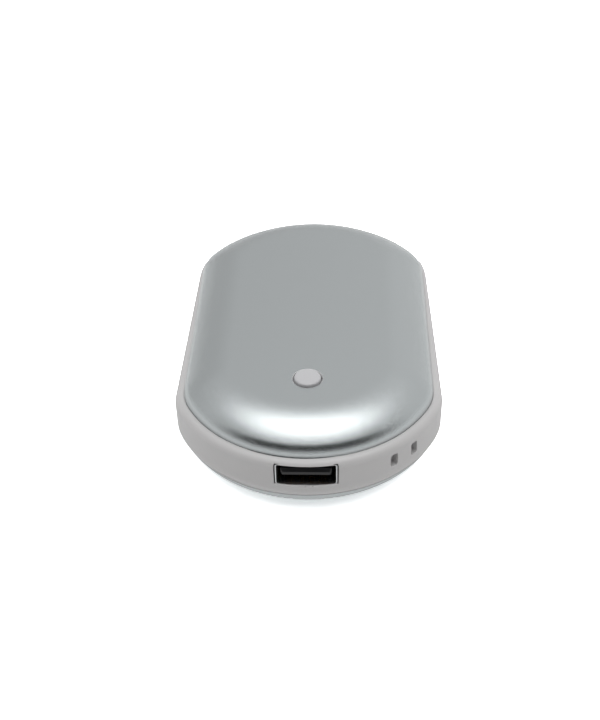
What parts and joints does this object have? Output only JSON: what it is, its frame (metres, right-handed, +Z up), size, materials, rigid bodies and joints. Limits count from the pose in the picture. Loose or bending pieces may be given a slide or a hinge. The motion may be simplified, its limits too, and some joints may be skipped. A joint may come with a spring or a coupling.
{
  "type": "rechargeable hand warmer",
  "caption": "Flat rounded hand warmer with two domed metal shells, a white frame band, a push button and an output port in its end.",
  "frame": {"origin": "middle of the underside, on the surface that it lies on", "axes": "+Z up through the button's face, +Y along the body away from the output port, +X to the right as seen from the port end"},
  "size_m": [0.0614, 0.1, 0.0231],
  "materials": {
    "shell_aluminium": "bead blasted and clear anodised, satin",
    "frame_plastic": "white moulded ABS, satin",
    "cap_plastic": "white translucent moulded plastic, satin",
    "port_steel": "bright tin plated steel",
    "port_plastic": "black moulded nylon",
    "contact_gold": "gold flash plating",
    "heater_film": "amber polyimide film over etched foil",
    "foam": "closed cell foam, matt",
    "tape": "double-sided tape, matt",
    "tray_plastic": "grey moulded ABS, matt",
    "screw_steel": "zinc plated steel",
    "cell_foil": "laminated foil pouch",
    "tab_nickel": "nickel strip",
    "board_laminate": "green solder mask on glass fibre board",
    "chip_plastic": "black epoxy moulding",
    "inductor_ferrite": "pressed iron powder, matt",
    "capacitor_can": "plain metal can and ceramic blocks",
    "light_lens": "clear epoxy lens over phosphor",
    "fuse_body": "glazed ceramic",
    "plunger_plastic": "red brown moulded nylon",
    "wire_red": "red silicone insulation",
    "wire_black": "black silicone insulation",
    "wire_white": "white silicone insulation",
    "bead_epoxy": "blue epoxy bead",
    "lead_wire": "tinned wire"
  },
  "bodies": {
    "root": {"top_shell": "shell_aluminium", "bottom_shell": "shell_aluminium", "mid_frame": "frame_plastic", "switch_body": "port_plastic", "switch_dome": "port_steel", "output_port_shell": "port_steel", "output_port_tongue": "port_plastic", "output_port_contacts": "contact_gold", "inlet_shell": "port_steel", "inlet_tongue": "port_plastic", "inlet_contacts": "contact_gold", "top_heater": "heater_film", "bottom_heater": "heater_film", "top_insulation": "foam", "bottom_insulation": "foam", "top_shell_tape": "tape", "bottom_shell_tape": "tape", "top_tray": "tray_plastic", "bottom_tray": "tray_plastic", "top_tray_screws": "screw_steel", "bottom_tray_screws": "screw_steel", "lower_cell": "cell_foil", "upper_cell": "cell_foil", "cell_tape": "tape", "cell_bond": "tape", "cell_pad": "foam", "cell_tabs": "tab_nickel", "battery_board": "board_laminate", "main_board": "board_laminate", "main_board_screws": "screw_steel", "inductor": "inductor_ferrite", "capacitors": "capacitor_can", "control_chips": "chip_plastic", "indicator_lights": "light_lens", "thermal_fuse": "fuse_body", "charge_board": "board_laminate", "charge_board_screws": "screw_steel", "battery_leads": "wire_red", "charge_leads": "wire_black", "top_heater_leads": "wire_white", "bottom_heater_leads": "wire_white", "thermistor": "bead_epoxy", "thermistor_leads": "lead_wire"},
    "button": {"button_cap": "cap_plastic"},
    "plunger": {"switch_plunger": "plunger_plastic"}
  },
  "joints": [
    {"name": "button_press", "type": "slide", "parent": "root", "child": "button", "axis": [0, 0, -1], "range_m": [0, 0.0003], "stiffness_N_per_m": 2000},
    {"name": "plunger_press", "type": "slide", "parent": "root", "child": "plunger", "axis": [0, 0, -1], "range_m": [0, 0.0003]}
  ],
  "couplings": [
    {"joint": "plunger_press", "follows": "button_press", "ratio": 1}
  ]
}
